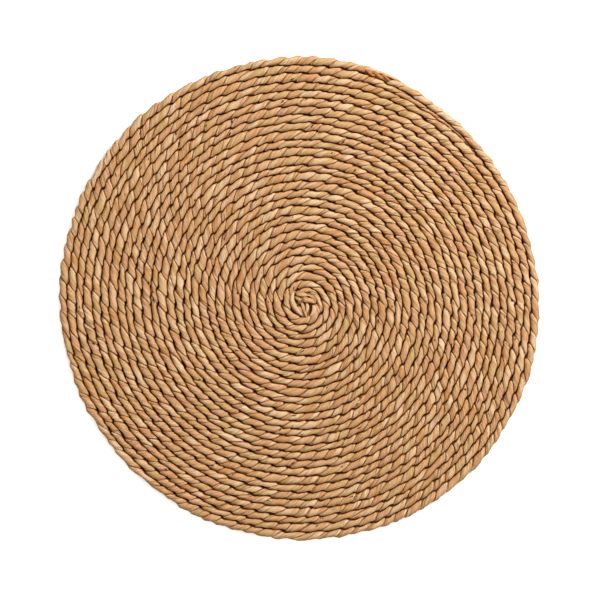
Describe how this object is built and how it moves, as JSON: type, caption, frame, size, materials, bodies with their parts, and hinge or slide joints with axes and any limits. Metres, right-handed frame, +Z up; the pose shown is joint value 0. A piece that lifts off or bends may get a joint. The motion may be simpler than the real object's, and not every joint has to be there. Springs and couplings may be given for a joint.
{
  "type": "chair seat pad",
  "caption": "Flat round chair seat pad of twisted straw rope coiled in a spiral, closed by a border turn and sewn together with thread on its underside.",
  "frame": {"origin": "middle of the pad's outline, on the plane that it lies on", "axes": "+Z up through the pad's thickness; +X and +Y lie in the pad, which has no front: the main rope's tail points out at 40 degrees from +X towards +Y"},
  "size_m": [0.3806, 0.3822, 0.0076],
  "materials": {
    "straw_rope": "matt dried leaf, tan with paler and more orange stretches",
    "border_straw_rope": "matt dried leaf, tan with paler and more orange stretches",
    "waxed_thread": "thin waxed thread, slight sheen"
  },
  "bodies": {
    "root": {"border_rope": "border_straw_rope", "centre_knot": "straw_rope", "rope_tail": "straw_rope", "rope_turn_01": "straw_rope", "rope_turn_02": "straw_rope", "rope_turn_03": "straw_rope", "rope_turn_04": "straw_rope", "rope_turn_05": "straw_rope", "rope_turn_06": "straw_rope", "rope_turn_07": "straw_rope", "rope_turn_08": "straw_rope", "rope_turn_09": "straw_rope", "rope_turn_10": "straw_rope", "rope_turn_11": "straw_rope", "rope_turn_12": "straw_rope", "rope_turn_13": "straw_rope", "rope_turn_14": "straw_rope", "rope_turn_15": "straw_rope", "rope_turn_16": "straw_rope", "rope_turn_17": "straw_rope", "rope_turn_18": "straw_rope", "rope_turn_19": "straw_rope", "rope_turn_20": "straw_rope", "rope_turn_21": "straw_rope", "rope_turn_22": "straw_rope", "rope_turn_23": "straw_rope", "rope_turn_24": "straw_rope", "rope_turn_25": "straw_rope", "rope_turn_26": "straw_rope", "rope_turn_27": "straw_rope", "thread_line_1": "waxed_thread", "thread_line_2": "waxed_thread", "thread_line_3": "waxed_thread", "thread_line_4": "waxed_thread", "thread_line_5": "waxed_thread", "thread_line_6": "waxed_thread", "thread_line_7": "waxed_thread"}
  },
  "joints": []
}
